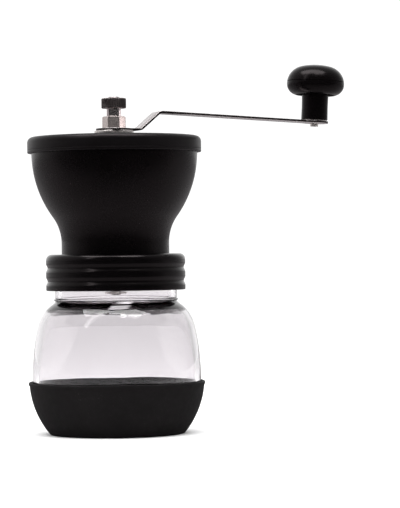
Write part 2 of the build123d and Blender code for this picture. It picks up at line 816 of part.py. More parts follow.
# Crank arm. One bent steel strip, round at both ends.
hub_mid = plate_bottom + strip_thickness / 2
joggle_end = joggle_start + joggle_run
knob_drop = (crank_radius - joggle_end) * sin(radians(arm_fall)) / cos(radians(arm_fall))
knob_base = Vector(crank_radius, 0, hub_mid + joggle_rise - knob_drop)
arm_direction = Vector(cos(radians(arm_fall)), 0, -sin(radians(arm_fall)))
knob_direction = Vector(sin(radians(arm_fall)), 0, cos(radians(arm_fall)))
knob_plane = Plane(origin=knob_base, x_dir=arm_direction, z_dir=knob_direction)
arm_tip = knob_base + arm_direction * (2 * strip_end_radius)
hub_plane = Plane.XY.offset(plate_bottom - strip_thickness)
with BuildPart() as crank_arm:
    with BuildSketch(Plane.XZ):
        with BuildLine():
            FilletPolyline(
                (-2 * strip_hub_radius, hub_mid),
                (joggle_start, hub_mid),
                (joggle_end, hub_mid + joggle_rise),
                (arm_tip.X, arm_tip.Z),
                radius=joggle_round,
            )
        trace(line_width=strip_thickness)
    extrude(amount=2 * strip_hub_radius, both=True)
    with BuildSketch(hub_plane):
        Circle(strip_hub_radius)
        with Locations((crank_radius / 2, 0)):
            Rectangle(crank_radius, strip_width)
        with Locations((crank_radius, 0)):
            Circle(strip_end_radius)
    extrude(amount=8 * joggle_rise, mode=Mode.INTERSECT)
    with Locations((0, 0, hub_mid)):
        Cylinder(spigot_radius + hub_gap, 3 * strip_thickness, mode=Mode.SUBTRACT)
    with BuildSketch(knob_plane.offset(-strip_thickness)):
        Circle(rivet_tenon_radius + hub_gap)
    extrude(amount=2 * strip_thickness, mode=Mode.SUBTRACT)
crank_arm.part.label = "crank_arm"
export_step(crank_arm.part, "parts/crank_arm.step")

# Knurled nut. A brass-cored cap nut with a neck, a knurled head and a small polished boss.
thumb_head_z = hex_top + thumb_neck_height
thumb_top = thumb_head_z + thumb_head_height
knurl_side = sqrt(2) * knurl_depth
with BuildPart() as thumb_nut:
    with BuildSketch(Plane.XY.offset(hex_top)):
        Circle(thumb_neck_radius)
    extrude(amount=thumb_neck_height)
    with BuildSketch(Plane.XY.offset(thumb_head_z)):
        Circle(thumb_head_radius)
    extrude(amount=thumb_head_height)
    chamfer(rims(thumb_nut, thumb_head_z)[-1], thumb_head_chamfer)
    chamfer(rims(thumb_nut, thumb_top)[-1], thumb_head_chamfer)
    with BuildSketch(Plane.XY.offset(thumb_head_z)):
        with PolarLocations(thumb_head_radius, knurls):
            Rectangle(knurl_side, knurl_side, rotation=45)
    extrude(amount=thumb_head_height, mode=Mode.SUBTRACT)
    with BuildSketch(Plane.XY.offset(thumb_top)):
        Circle(thumb_boss_radius)
    extrude(amount=thumb_boss_height, taper=thumb_boss_taper)
    with BuildSketch(Plane.XY.offset(hex_top)):
        Circle(nut_stud_radius + running_gap)
    extrude(amount=nut_stud_length, mode=Mode.SUBTRACT)
thumb_nut.part.label = "thumb_nut"
export_step(thumb_nut.part, "parts/thumb_nut.step")

# Knob. All of it is drawn in the half section of a plane square to the sloping arm, with heights
# counted from the middle of the strip.
arm_top = strip_thickness / 2
stem_bottom = arm_top + washer_thickness
stem_top = stem_bottom + knob_stem_height
knob_equator = stem_top + knob_under_curve
crown_centre = Vector(knob_radius - knob_crown_curve, knob_equator)
crown_edge = crown_centre + polar(knob_crown_curve, knob_crown_turn)
top_curve = crown_edge.X / cos(radians(knob_crown_turn))
knob_top = crown_edge.Y - top_curve * sin(radians(knob_crown_turn)) + top_curve
under_centre = Vector(knob_radius - knob_under_curve, knob_equator)
seam_height = knob_equator + cap_seam
seam_turn = degrees(asin(cap_seam / knob_crown_curve))
seam_radius = crown_centre.X + knob_crown_curve * cos(radians(seam_turn))
cap_bore = seam_radius - cap_thickness
rivet_top = stem_bottom + rivet_length
pocket_floor = rivet_top - rivet_end_gap
pocket_radius = rivet_head_radius + rivet_head_gap
pocket_top = rivet_top + rivet_head_height + rivet_cap_gap
knob_side = Plane(origin=knob_base, x_dir=arm_direction, z_dir=(0, -1, 0))
knob_axis = Axis(origin=knob_base, direction=knob_plane.z_dir)

with BuildPart() as knob_washer:
    with BuildSketch(knob_plane.offset(arm_top)):
        Circle(washer_radius)
        Circle(rivet_radius + running_gap, mode=Mode.SUBTRACT)
    extrude(amount=washer_thickness)
knob_washer.part.label = "knob_washer"
export_step(knob_washer.part, "parts/knob_washer.step")

with BuildPart() as knob_axle:
    with BuildSketch(knob_side):
        with BuildLine():
            Polyline(
                (0, -arm_top - rivet_tail_height),
                (rivet_tail_radius, -arm_top - rivet_tail_height),
                (rivet_tail_radius, -arm_top),
                (rivet_tenon_radius, -arm_top),
                (rivet_tenon_radius, arm_top),
                (rivet_radius, arm_top),
                (rivet_radius, rivet_top),
                (rivet_head_radius, rivet_top),
                (rivet_head_radius, rivet_top + rivet_head_height),
                (0, rivet_top + rivet_head_height),
                close=True,
            )
        make_face()
    revolve(axis=knob_axis)
knob_axle.part.label = "knob_axle"
export_step(knob_axle.part, "parts/knob_axle.step")

cap_floor = seam_height - cap_skirt_drop
hollow_top = stem_top + knob_hollow
with BuildPart() as knob_body:
    with BuildSketch(knob_side):
        with BuildLine():
            under = CenterArc(under_centre, knob_under_curve, -90, 90)
            side = CenterArc(crown_centre, knob_crown_curve, 0, seam_turn)
            Polyline(
                (side @ 1),
                (cap_bore, seam_height),
                (cap_bore, cap_floor),
                (pocket_radius, cap_floor),
                (pocket_radius, pocket_floor),
                (rivet_radius + running_gap, pocket_floor),
                (rivet_radius + running_gap, stem_bottom),
                (knob_stem_radius, stem_bottom),
                (knob_stem_radius, hollow_top),
                (under_centre.X - knob_rim_land, hollow_top),
                (under @ 0),
            )
        make_face()
    revolve(axis=knob_axis)
knob_body.part.label = "knob_body"
export_step(knob_body.part, "parts/knob_body.step")

with BuildPart() as knob_cap:
    with BuildSketch(knob_side):
        with BuildLine():
            cap_turn = knob_crown_turn - seam_turn
            side = CenterArc(crown_centre, knob_crown_curve, seam_turn, cap_turn)
            top_centre = (0, knob_top - top_curve)
            crown = CenterArc(top_centre, top_curve, knob_crown_turn, 90 - knob_crown_turn)
            Polyline(
                (crown @ 1),
                (0, pocket_top),
                (cap_bore - cap_skirt_gap, pocket_top),
                (cap_bore - cap_skirt_gap, seam_height),
                (side @ 0),
            )
        make_face()
    revolve(axis=knob_axis)
knob_cap.part.label = "knob_cap"
export_step(knob_cap.part, "parts/knob_cap.step")
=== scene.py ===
from math import acos, asin, atan2, cos, degrees, pi, radians, sin, sqrt, tau

import bmesh
import bpy
from mathutils import Matrix, Vector


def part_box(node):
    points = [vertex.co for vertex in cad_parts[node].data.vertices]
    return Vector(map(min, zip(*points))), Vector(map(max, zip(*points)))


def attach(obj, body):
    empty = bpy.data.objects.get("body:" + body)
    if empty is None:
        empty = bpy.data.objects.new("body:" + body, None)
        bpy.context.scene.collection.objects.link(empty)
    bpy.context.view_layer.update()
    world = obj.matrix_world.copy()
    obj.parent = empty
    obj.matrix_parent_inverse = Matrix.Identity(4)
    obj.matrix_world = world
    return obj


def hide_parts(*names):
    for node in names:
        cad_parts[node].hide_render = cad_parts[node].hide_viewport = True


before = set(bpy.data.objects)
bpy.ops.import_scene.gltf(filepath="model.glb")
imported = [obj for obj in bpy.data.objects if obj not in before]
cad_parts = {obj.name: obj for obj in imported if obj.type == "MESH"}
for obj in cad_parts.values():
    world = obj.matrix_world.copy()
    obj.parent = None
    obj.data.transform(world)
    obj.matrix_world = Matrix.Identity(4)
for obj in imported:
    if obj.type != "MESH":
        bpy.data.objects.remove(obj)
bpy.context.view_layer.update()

# ---------------------------------------------------------------------------------------------
# Jar. Pressed clear glass with an even wall and a thick floor, a bead at the foot of its neck, and a
# screw ridge of a little over one turn above that.

MM = 0.001


def arc(centre, radius, start, end, steps=12):
    """Points along an arc of a half section, as (radius, height), angles in degrees."""
    turns = [radians(start + (end - start) * n / steps) for n in range(steps + 1)]
    return [(centre[0] + radius * cos(a), centre[1] + radius * sin(a)) for a in turns]


def rounded(points, steps=5):
    """A closed half section. A point with a third number has its corner rounded to that radius."""
    outline = []
    for n, point in enumerate(points):
        if len(point) == 2:
            outline.append(point)
            continue
        here = Vector(point[:2])
        back = Vector(points[n - 1][:2]) - here
        ahead = Vector(points[(n + 1) % len(points)][:2]) - here
        half = back.angle(ahead) / 2
        reach = point[2] / sin(half) * cos(half)
        centre = here + (back.normalized() + ahead.normalized()).normalized() * point[2] / sin(half)
        first = here + back.normalized() * reach - centre
        last = here + ahead.normalized() * reach - centre
        swing = (atan2(last.y, last.x) - atan2(first.y, first.x) + pi) % tau - pi
        begin = atan2(first.y, first.x)
        for k in range(steps + 1):
            a = begin + swing * k / steps
            outline.append((centre.x + point[2] * cos(a), centre.y + point[2] * sin(a)))
    return outline


def finish_mesh(name, mesh, body, replaced, finish, corner=32):
    """Cleans a mesh, shades it smooth but for its corners, and hangs it on its CAD body."""
    bmesh.ops.remove_doubles(mesh, verts=mesh.verts, dist=1e-7)
    bmesh.ops.recalc_face_normals(mesh, faces=mesh.faces)
    for edge in mesh.edges:
        edge.smooth = len(edge.link_faces) == 2 and edge.calc_face_angle(0) < radians(corner)
    for face in mesh.faces:
        face.smooth = True
    data = bpy.data.meshes.new(name)
    mesh.to_mesh(data)
    mesh.free()
    piece = bpy.data.objects.new(name, data)
    bpy.context.collection.objects.link(piece)
    data.materials.append(finish)
    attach(piece, body)
    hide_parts(*replaced)
    return piece


def lathe(
    name, outline, body, replaced, finish, segments=128, shape=None, turn=0, corner=32, place=None
):
    """Turns a half section in millimetres about Z. shape moves each angle, radius and height."""
    mesh = bmesh.new()
    rings = []
    for radius, height in outline:
        ring = []
        for n in range(segments if radius > 1e-6 else 1):
            angle = tau * n / segments + radians(turn)
            r, z = shape(angle, radius, height) if shape and radius > 1e-6 else (radius, height)
            point = Vector((r * cos(angle), r * sin(angle), z)) * MM
            ring.append(mesh.verts.new(place @ point if place else point))
        rings.append(ring)
    for ring, after in zip(rings, rings[1:] + rings[:1]):
        if len(ring) == 1 and len(after) == 1:
            continue
        for n in range(segments):
            corners = [ring[n % len(ring)], ring[(n + 1) % len(ring)]]
            corners += [after[(n + 1) % len(after)], after[n % len(after)]]
            mesh.faces.new(list(dict.fromkeys(corners)))
    return finish_mesh(name, mesh, body, replaced, finish, corner)


def dress(names, finish):
    """Gives CAD nodes that keep their shape a finish."""
    for name in names:
        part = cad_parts[name]
        part.data.materials.clear()
        part.data.materials.append(finish)


class Wire:
    """A shader socket that can be used in sums."""

    def __init__(self, finish, socket):
        self.finish = finish
        self.socket = socket

    def sum(self, operation, first, second=0.0):
        return self.finish.node("Math", {"operation": operation}, {0: first, 1: second})

    def __add__(self, other):
        return self.sum("ADD", self, other)

    def __sub__(self, other):
        return self.sum("SUBTRACT", self, other)

    def __rsub__(self, other):
        return self.sum("SUBTRACT", other, self)

    def __mul__(self, other):
        return self.sum("MULTIPLY", self, other)

    __radd__ = __add__
    __rmul__ = __mul__


class Finish:
    """One material: a Principled shader and the nodes that feed it."""

    def __init__(self, name):
        self.material = bpy.data.materials.new(name)
        self.material.use_nodes = True
        self.tree = self.material.node_tree
        self.shader = self.tree.nodes["Principled BSDF"]

    def node(self, kind, settings=None, sockets=None, out=0):
        made = self.tree.nodes.new("ShaderNode" + kind)
        for key, value in (settings or {}).items():
            if key == "stops":
                while len(made.color_ramp.elements) < len(value):
                    made.color_ramp.elements.new(0.5)
                for stop, (place, colour) in zip(made.color_ramp.elements, value):
                    stop.position = place
                    stop.color = colour
            else:
                setattr(made, key, value)
        self.feed(made, sockets or {})
        return Wire(self, made.outputs[out])

    def feed(self, node, sockets):
        for key, value in sockets.items():
            if isinstance(value, Wire):
                self.tree.links.new(value.socket, node.inputs[key])
            else:
                node.inputs[key].default_value = value

    def place(self, stretch=(1, 1, 1)):
        """The point on the piece, stretched, in metres."""
        spot = self.node("TexCoord", out="Object")
        return self.node("VectorMath", {"operation": "MULTIPLY"}, {0: spot, 1: stretch})

    def grain(self, scale, detail=3.0, stretch=(1, 1, 1)):
        """Noise from 0 to 1, scale in cells to the metre."""
        sockets = {"Vector": self.place(stretch), "Scale": scale, "Detail": detail}
        return self.node("TexNoise", {}, sockets)

    def between(self, mask, low, high):
        """Turns a mask into a soft step that rises from low to high."""
        sockets = {0: mask, 1: low, 2: high, 3: 0.0, 4: 1.0}
        return self.node("MapRange", {"interpolation_type": "SMOOTHSTEP"}, sockets)

    def blend(self, mask, first, second):
        """A colour between two others."""
        ends = [(*end, 1.0) if isinstance(end, tuple) else end for end in (first, second)]
        return self.node("Mix", {"data_type": "RGBA"}, {0: mask, 6: ends[0], 7: ends[1]}, out=2)

    def bump(self, height, distance, strength=1.0):
        """A relief, distance in millimetres."""
        sockets = {"Height": height, "Distance": distance * MM, "Strength": strength}
        return self.node("Bump", {}, sockets)

    def made(self, **sockets):
        """Feeds the shader, names with underscores for blanks, and returns the material."""
        self.feed(self.shader, {key.replace("_", " "): value for key, value in sockets.items()})
        return self.material


belly_z = 30.0
jar_base_curve = 44.1
jar_flank_curve = 130.0
jar_flank_turn = 12.5
jar_shoulder_curve = 20.0
neck_radius = 32.8
glass_wall = 3.0
glass_floor = 6.0
boot_floor = 2.0
thread_pitch = 5.0
thread_depth = 1.7
thread_below_rim = 2.4
jar_thread_turns = 1.3
ridge_half = 1.1
ridge_flank = 0.5
ridge_runout = 0.05
jar_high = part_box("jar")[1]
jar_radius = jar_high.x / MM
jar_rim = jar_high.z / MM
jar_base_at = (jar_radius - jar_base_curve, belly_z)
jar_flank_at = (jar_radius - jar_flank_curve, belly_z)
flank_rest = jar_flank_curve - jar_shoulder_curve
jar_shoulder_at = (
    jar_flank_at[0] + flank_rest * cos(radians(jar_flank_turn)),
    belly_z + flank_rest * sin(radians(jar_flank_turn)),
)


def jar_side(inset, low_z, top_radius):
    """The jar's side, moved in by inset, from a height up to a radius on the shoulder."""
    low = degrees(asin((belly_z - low_z) / (jar_base_curve - inset)))
    top = degrees(acos((top_radius - jar_shoulder_at[0]) / (jar_shoulder_curve - inset)))
    side = arc(jar_base_at, jar_base_curve - inset, -low, 0, 24)
    side += arc(jar_flank_at, jar_flank_curve - inset, 0, jar_flank_turn, 16)[1:]
    return side + arc(jar_shoulder_at, jar_shoulder_curve - inset, jar_flank_turn, top, 20)[1:]


def ridge(angle, height, start, turns, sign):
    """How far a screw ridge stands out at a point, from 0 to 1 of its depth."""
    best = 0.0
    for lap in range(-1, int(turns) + 2):
        along = (angle % tau) / tau + lap
        if not 0 <= along <= turns:
            continue
        off = abs(height - (start + thread_pitch * along))
        ends = min(1.0, along / ridge_runout, (turns - along) / ridge_runout)
        best = max(best, min(1.0, max(0.0, (ridge_half - off) / ridge_flank)) * ends)
    return sign * best * thread_depth


neck_turn = acos((neck_radius - jar_shoulder_at[0]) / jar_shoulder_curve)
neck_foot = jar_shoulder_at[1] + jar_shoulder_curve * sin(neck_turn)
# Painted shade: the dark that the thick glass between shoulder and neck gathers from the collar
# above is painted as a near-black band in the glass's colour, broken by noise.
glass = Finish("clear_glass")
ripple = glass.grain(42, 1.5, (1, 1, 0.5))
pits = glass.grain(900, 2.0)
height = glass.node("SeparateXYZ", {}, {0: glass.place()}, out="Z")
# Where the band of painted shade sits, how soft its edges are and how much it wobbles.
painted_band_low = (neck_foot - 4.4) * MM
painted_band_high = (neck_foot + 0.4) * MM
painted_band_edge = 0.8 * MM
painted_band_waver = 4 * MM
painted_band_wobble = (glass.grain(30, 2.0, (1, 1, 0)) - 0.5) * painted_band_waver
ring = glass.between(height + painted_band_wobble, painted_band_low, painted_band_low + painted_band_edge)
ring = ring * (1.0 - glass.between(height + painted_band_wobble * 0.5, painted_band_high - painted_band_edge, painted_band_high))
ring = ring * glass.between(glass.grain(55, 1.0, (1, 1, 0.15)), 0.36, 0.42)
clear_glass = glass.made(
    # Base colour: the glass's clear tint, with the painted shade band in near black.
    Base_Color=glass.blend(ring, (0.80, 0.778, 0.795), (0.008, 0.006, 0.007)),
    Roughness=glass.between(pits, 0.62, 0.8) * 0.05 + 0.008,
    IOR=1.5,
    Transmission_Weight=1.0,
    Normal=glass.bump(ripple, 0.6, 0.5),
)
jar_ridge_z = jar_rim - thread_below_rim - thread_pitch * jar_thread_turns
glass_floor_z = boot_floor + glass_floor
bead_z = neck_foot + 1.4
bead_half = 0.7
bead_rows = 5
neck_outside = []
for row in range(-bead_rows, bead_rows + 1):
    swell = bead_half * sqrt(max(0, 1 - (row / bead_rows) ** 2))
    neck_outside.append((neck_radius + swell, bead_z + 0.14 * row))
neck_steps = 60
neck_start = bead_z + 1.2
neck_end = jar_rim - 1.2
for n in range(neck_steps + 1):
    neck_outside.append((neck_radius, neck_start + (neck_end - neck_start) * n / neck_steps))
inside = jar_side(glass_wall, glass_floor_z, neck_radius - glass_wall)
outside = jar_side(0, boot_floor, neck_radius)
inner_foot = inside[0]
floor_round = 5.0
rim_round = 1.0
dimple_radius = 24.0
foot_radius = 27.0
jar_outline = [(0, boot_floor + 1.4), (dimple_radius, boot_floor + 1.3), (foot_radius, boot_floor)]
jar_outline += outside[:-1] + neck_outside
rim_z = jar_rim - rim_round
jar_outline += arc((neck_radius - rim_round, rim_z), rim_round, 0, 90, 5)
jar_outline += arc((neck_radius - glass_wall + rim_round, rim_z), rim_round, 90, 180, 5)
jar_outline += [p for p in reversed(inside) if p[1] > glass_floor_z + floor_round]
jar_outline += rounded([
    (0, glass_floor_z), (inner_foot[0] + 1.0, glass_floor_z, floor_round),
    (inner_foot[0] + 4.2, glass_floor_z + floor_round + 0.3),
])[1:-1]
jar_outline += [(0, glass_floor_z)]


def jar_shape(angle, radius, height):
    if radius > neck_radius - 0.5 and neck_start < height < neck_end:
        radius += ridge(angle, height, jar_ridge_z, jar_thread_turns, 1)
    return radius, height


jar = lathe("jar_glass", jar_outline, "jar", ["jar"], clear_glass, 192, jar_shape)

# ---------------------------------------------------------------------------------------------
# Boot. A sleeve of black rubber, moulded to the jar and pulled on over its foot. Matt, dusty in its
# pores, with a thin lip that never sits quite level.

rubber = Finish("boot_rubber")
pores = rubber.between(rubber.grain(1500, 2.0), 0.62, 0.75)
dust = pores * rubber.between(rubber.grain(60, 3.0), 0.4, 0.7)
mottle = rubber.grain(45, 4.0)
boot_colour = rubber.blend(mottle, (0.0036, 0.0027, 0.0030), (0.0062, 0.0049, 0.0054))
boot_rubber = rubber.made(
    Base_Color=rubber.blend(dust * 0.2, boot_colour, (0.10, 0.09, 0.09)),
    Roughness=0.62 + 0.2 * rubber.grain(300, 3.0),
    Specular_IOR_Level=0.2,
    Normal=rubber.bump(rubber.grain(1300, 3.0), 0.06, 0.5),
)

boot_wall = 1.6
boot_gap = 0.3
boot_lip = 0.45
boot_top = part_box("boot")[1].z / MM
boot_out = jar_base_curve + boot_gap + boot_wall
boot_in = jar_base_curve + boot_gap
out_low = degrees(asin((belly_z - 0.9) / boot_out))
out_high = degrees(asin((belly_z - boot_top + 2.0) / boot_out))
in_low = degrees(asin((belly_z - boot_floor) / boot_in))
in_high = degrees(asin((belly_z - boot_top) / boot_in))
boot_side = arc(jar_base_at, boot_out, -out_low, -out_high, 28)
boot_inside = arc(jar_base_at, boot_in, -in_low, -in_high, 20)
lip_radius = boot_side[-1][0] + boot_lip
boot_outline = [(0, 0), (boot_side[0][0] - 1.6, 0), (boot_side[0][0] - 0.55, 0.25)] + boot_side
boot_outline += [(lip_radius - 0.1, boot_top - 1.55), (lip_radius, boot_top - 1.25)]
boot_outline += [(lip_radius, boot_top - 0.5)]
boot_outline += arc((lip_radius - 0.5, boot_top - 0.5), 0.5, 20, 90, 4)
boot_outline += arc((boot_inside[-1][0] + 0.4, boot_top - 0.4), 0.4, 90, 180, 4)
boot_outline += list(reversed(boot_inside[:-1])) + [(0, boot_floor)]


lip_reach = 5.0


def boot_shape(angle, radius, height):
    near_lip = max(0.0, (height - boot_top + lip_reach) / lip_reach)
    dip = 0.16 * sin(3 * angle + 0.6) + 0.1 * sin(7 * angle + 2.0) - 0.27
    return radius, height + near_lip * dip


boot = lathe("rubber_boot", boot_outline, "jar", ["boot"], boot_rubber, 192, boot_shape, corner=40)

# ---------------------------------------------------------------------------------------------
# Jar seal. A flat ring of milky silicone, punched from sheet, that stays under the hopper's flange.

silicone = Finish("seal_silicone")
seal_silicone = silicone.made(
    Base_Color=silicone.blend(silicone.grain(200, 3.0), (0.72, 0.71, 0.68), (0.8, 0.79, 0.76)),
    Roughness=0.45 + 0.1 * silicone.grain(900),
    Subsurface_Weight=0.15,
    Subsurface_Scale=0.002,
    Normal=silicone.bump(silicone.grain(1500), 0.03, 0.4),
)
seal_low, seal_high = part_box("jar_seal")
seal_radius = seal_high.x / MM
seal_width = 4.3
seal_z = (seal_low.z / MM, seal_high.z / MM)
seal_outline = rounded([
    (seal_radius - seal_width, seal_z[0], 0.2), (seal_radius, seal_z[0], 0.3),
    (seal_radius, seal_z[1], 0.3), (seal_radius - seal_width, seal_z[1], 0.2),
])
seal = lathe("silicone_seal", seal_outline, "seal", ["jar_seal"], seal_silicone, 128)

# ---------------------------------------------------------------------------------------------
# Screw collar. Injection moulded black plastic with a satin gloss, two soft grooves round its
# outside and a screw ridge inside. Its web clamps the hopper's flange.


def plastic(name, dark, light, rough, gloss, pores, relief):
    """Moulded plastic: a soft mottle of two near blacks, uneven gloss and a fine moulded grain."""
    made = Finish(name)
    patches = made.grain(30, 4.0)
    made.made(
        Base_Color=made.blend(made.between(patches, 0.3, 0.7), dark, light),
        Roughness=rough + 0.1 * made.grain(70, 4.0) + 0.05 * made.grain(pores, 2.0),
        Specular_IOR_Level=gloss,
        Specular_Tint=(1.0, 0.87, 0.89, 1),
        Normal=made.bump(made.grain(pores, 3.0), relief, 0.5),
    )
    return made.material


collar_plastic = plastic(
    "collar_plastic", (0.0012, 0.0010, 0.0011), (0.0020, 0.0016, 0.0018), 0.12, 0.22, 900, 0.012
)

collar_low, collar_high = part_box("screw_collar")
collar_radius = collar_high.x / MM
collar_z = (collar_low.z / MM, collar_high.z / MM)
collar_web = 2.8
collar_round = 3.2
thread_clearance = 0.4
waist_radius = 29.05
collar_bore = neck_radius + thread_depth + thread_clearance
web_z = collar_z[1] - collar_web
grooves = (5.1, 12.3)
groove_half = 2.4
groove_depth = 0.8


def grooved(height):
    """The collar's outside: straight, with a soft hollow at each groove."""
    radius = collar_radius
    for groove in grooves:
        off = abs(height - collar_z[0] - groove) / groove_half
        if off < 1:
            radius -= groove_depth * (0.5 + 0.5 * cos(pi * off))
    return radius


wall_steps = 96
wall_foot = collar_z[0] + 0.8
wall_rise = collar_z[1] - collar_round - wall_foot
wall_heights = [wall_foot + wall_rise * n / wall_steps for n in range(wall_steps + 1)]
bore_steps = 56
bore_top = web_z - 0.5
bore_bottom = collar_z[0] + 0.9
bore_heights = [bore_top + (bore_bottom - bore_top) * n / bore_steps for n in range(bore_steps + 1)]
collar_outline = arc((collar_radius - 0.7, collar_z[0] + 0.7), 0.7, 270, 355, 5)
collar_outline += [(grooved(z), z) for z in wall_heights]
shoulder_at = (collar_radius - collar_round, collar_z[1] - collar_round)
collar_outline += arc(shoulder_at, collar_round, 4, 90, 12)
waist_bore = waist_radius + 0.15
collar_outline += [(waist_radius + 0.5, collar_z[1]), (waist_bore, collar_z[1] - 0.3)]
collar_outline += [(waist_bore, web_z), (collar_bore, web_z)]
collar_outline += [(collar_bore, z) for z in bore_heights]
collar_outline += arc((collar_bore + 0.6, collar_z[0] + 0.6), 0.6, 185, 270, 4)
collar_ridge_z = jar_ridge_z - thread_pitch / 2


def collar_shape(angle, radius, height):
    if abs(radius - collar_bore) < 0.01 and height < bore_top:
        radius += ridge(angle, height, collar_ridge_z, 1.0, -1)
    return radius, height


collar = lathe(
    "collar_ring", collar_outline, "head", ["screw_collar"], collar_plastic, 192, collar_shape
)

# ---------------------------------------------------------------------------------------------
# Hopper. A one-piece moulded funnel with a waist and a double curved flare. Its skin is a fine
# spark texture that turns brownish where light skims it. The foot holds the burrs.

hopper_plastic = plastic(
    "hopper_plastic", (0.0010, 0.0007, 0.0008), (0.0020, 0.0014, 0.0016), 0.2, 0.2, 1500, 0.02
)

hopper_low, hopper_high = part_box("hopper")
hopper_rim = hopper_high.z / MM
flange_z = hopper_low.z / MM
waist_curve = 24.3
mouth_radius = hopper_high.x / MM
hopper_wall = 2.5
rim_height = 5.8
flare_top = hopper_rim - rim_height
waist_z = collar_z[1] + 6.0
flare_height = flare_top - waist_z
flare_turn = degrees(2 * atan2(mouth_radius - waist_radius, flare_height))
mouth_curve = flare_height / sin(radians(flare_turn)) - waist_curve


def flare(inset):
    """The hopper's double curve, moved in by inset, from the waist up to the mouth."""
    low_at = (waist_radius + waist_curve, waist_z)
    low = arc(low_at, waist_curve + inset, 180, 180 - flare_turn, 20)
    high_at = (mouth_radius - mouth_curve, flare_top)
    high = arc(high_at, mouth_curve - inset, -flare_turn, 0, 36)
    return low + high[1:]


flange_radius = seal_radius
burr_low, burr_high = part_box("outer_burr")
burr_radius = burr_high.x / MM
burr_z = (burr_low.z / MM, burr_high.z / MM)
socket_radius = burr_radius + 0.3
floor_z = burr_z[1] + 3.0
throat_radius = 17.0
hopper_outline = rounded([
    (flange_radius, flange_z, 0.3), (flange_radius, web_z, 0.2), (waist_radius, web_z),
    *flare(0),
    (mouth_radius, hopper_rim, 0.7), (mouth_radius - hopper_wall, hopper_rim, 0.9),
    *reversed(flare(hopper_wall)),
    (waist_radius - hopper_wall, floor_z, 1.2), (throat_radius, floor_z, 1.5),
    (throat_radius, burr_z[1]), (socket_radius, burr_z[1]), (socket_radius, flange_z),
])
hopper = lathe("hopper_funnel", hopper_outline, "head", ["hopper"], hopper_plastic, 192)

# ---------------------------------------------------------------------------------------------
# Bearing bridge. Moulded with the hopper's plastic: a tall tube on three ribs, with a screwed foot
# at the end of each rib.

dress(["bearing_bridge"], hopper_plastic)

# ---------------------------------------------------------------------------------------------
# Bushes. Flanged plain bearings turned from off-white acetal and pressed into the tube's ends.

acetal = Finish("bush_acetal")
waves = {"Vector": acetal.place(), "Scale": 900, "Distortion": 1.0}
rings = acetal.node("TexWave", {"bands_direction": "Z"}, waves)
bush_acetal = acetal.made(
    Base_Color=acetal.blend(acetal.grain(250), (0.10, 0.095, 0.09), (0.13, 0.125, 0.12)),
    Roughness=0.32 + 0.12 * acetal.grain(700),
    Normal=acetal.bump(rings, 0.01, 0.4),
)
dress(["upper_bush", "lower_bush"], bush_acetal)

# ---------------------------------------------------------------------------------------------
# Screws, shaft, spring, washers, clip and rivet. Stainless steel, turned or drawn, with fine lines
# left by the tool and a slightly uneven polish.


def steel(name, colour, rough, lines, stretch):
    """Bright metal with fine lines. stretch squeezes the grain so that it runs along one way."""
    made = Finish(name)
    scratches = made.grain(lines, 2.0, stretch)
    clouds = made.grain(120, 3.0)
    duller = tuple(0.82 * part for part in colour)
    made.made(
        Base_Color=made.blend(made.between(clouds, 0.3, 0.7), duller, colour),
        Metallic=0.82,
        Roughness=rough + 0.16 * scratches + 0.06 * clouds,
        Normal=made.bump(scratches, 0.012, 0.5),
    )
    return made.material


turned_steel = steel("turned_steel", (0.74, 0.69, 0.67), 0.16, 300, (1, 1, 14))
steel_parts = ["bridge_screws", "holder_screws", "drive_shaft"]
steel_parts += ["burr_spring", "thrust_washer", "retaining_clip"]
dress(steel_parts, turned_steel)

# ---------------------------------------------------------------------------------------------
# Outer burr. A ring of unglazed ceramic, fired white, with slanted teeth round its grinding cone.

ceramic = Finish("burr_ceramic")
speck = ceramic.between(ceramic.grain(1400), 0.62, 0.72)
burr_ceramic = ceramic.made(
    Base_Color=ceramic.blend(speck * 0.4, (0.80, 0.78, 0.73), (0.55, 0.48, 0.40)),
    Roughness=0.55 + 0.15 * ceramic.grain(500),
    Normal=ceramic.bump(ceramic.grain(1600), 0.03, 0.5),
)
burr_exit_radius = 18.2
burr_slope = 0.23
burr_mouth_radius = 17.0
burr_narrow_z = burr_z[1] - 7.0
burr_narrow_radius = burr_exit_radius - burr_slope * (burr_narrow_z - burr_z[0])
burr_teeth = 36
tooth_depth = 0.45
tooth_lean = 0.035


def ladder(first, last, steps):
    """Points from one point of a half section to another, without the last."""
    return [tuple(a + (b - a) * n / steps for a, b in zip(first, last)) for n in range(steps)]


mouth_edge = 0.4
burr_mouth = (burr_mouth_radius, burr_z[1] - mouth_edge)
burr_narrow = (burr_narrow_radius, burr_narrow_z)
burr_exit = (burr_exit_radius, burr_z[0])
outer_burr_outline = [(burr_radius, burr_z[0]), (burr_radius, burr_z[1])]
outer_burr_outline += [(burr_mouth_radius + mouth_edge, burr_z[1])]
outer_burr_outline += ladder(burr_mouth, burr_narrow, 8) + ladder(burr_narrow, burr_exit, 8)
outer_burr_outline += [burr_exit]


def outer_burr_shape(angle, radius, height):
    if radius < burr_exit_radius + 0.01:
        wave = (burr_teeth * (angle + tooth_lean * (height - burr_z[0])) / tau) % 1.0
        radius += tooth_depth * (1 - wave)
    return radius, height


burr_segments = burr_teeth * 8
outer_burr = lathe(
    "burr_ring", outer_burr_outline, "head", ["outer_burr"], burr_ceramic, burr_segments,
    outer_burr_shape, corner=20,
)

# ---------------------------------------------------------------------------------------------
# Burr holder. A flanged cup in the collar's plastic, screwed up under the hopper.

dress(["burr_holder"], collar_plastic)

# ---------------------------------------------------------------------------------------------
# Inner burr. A fired ceramic cone: saw teeth on the land at its foot, six deep spiral grooves
# above them that draw the beans down.

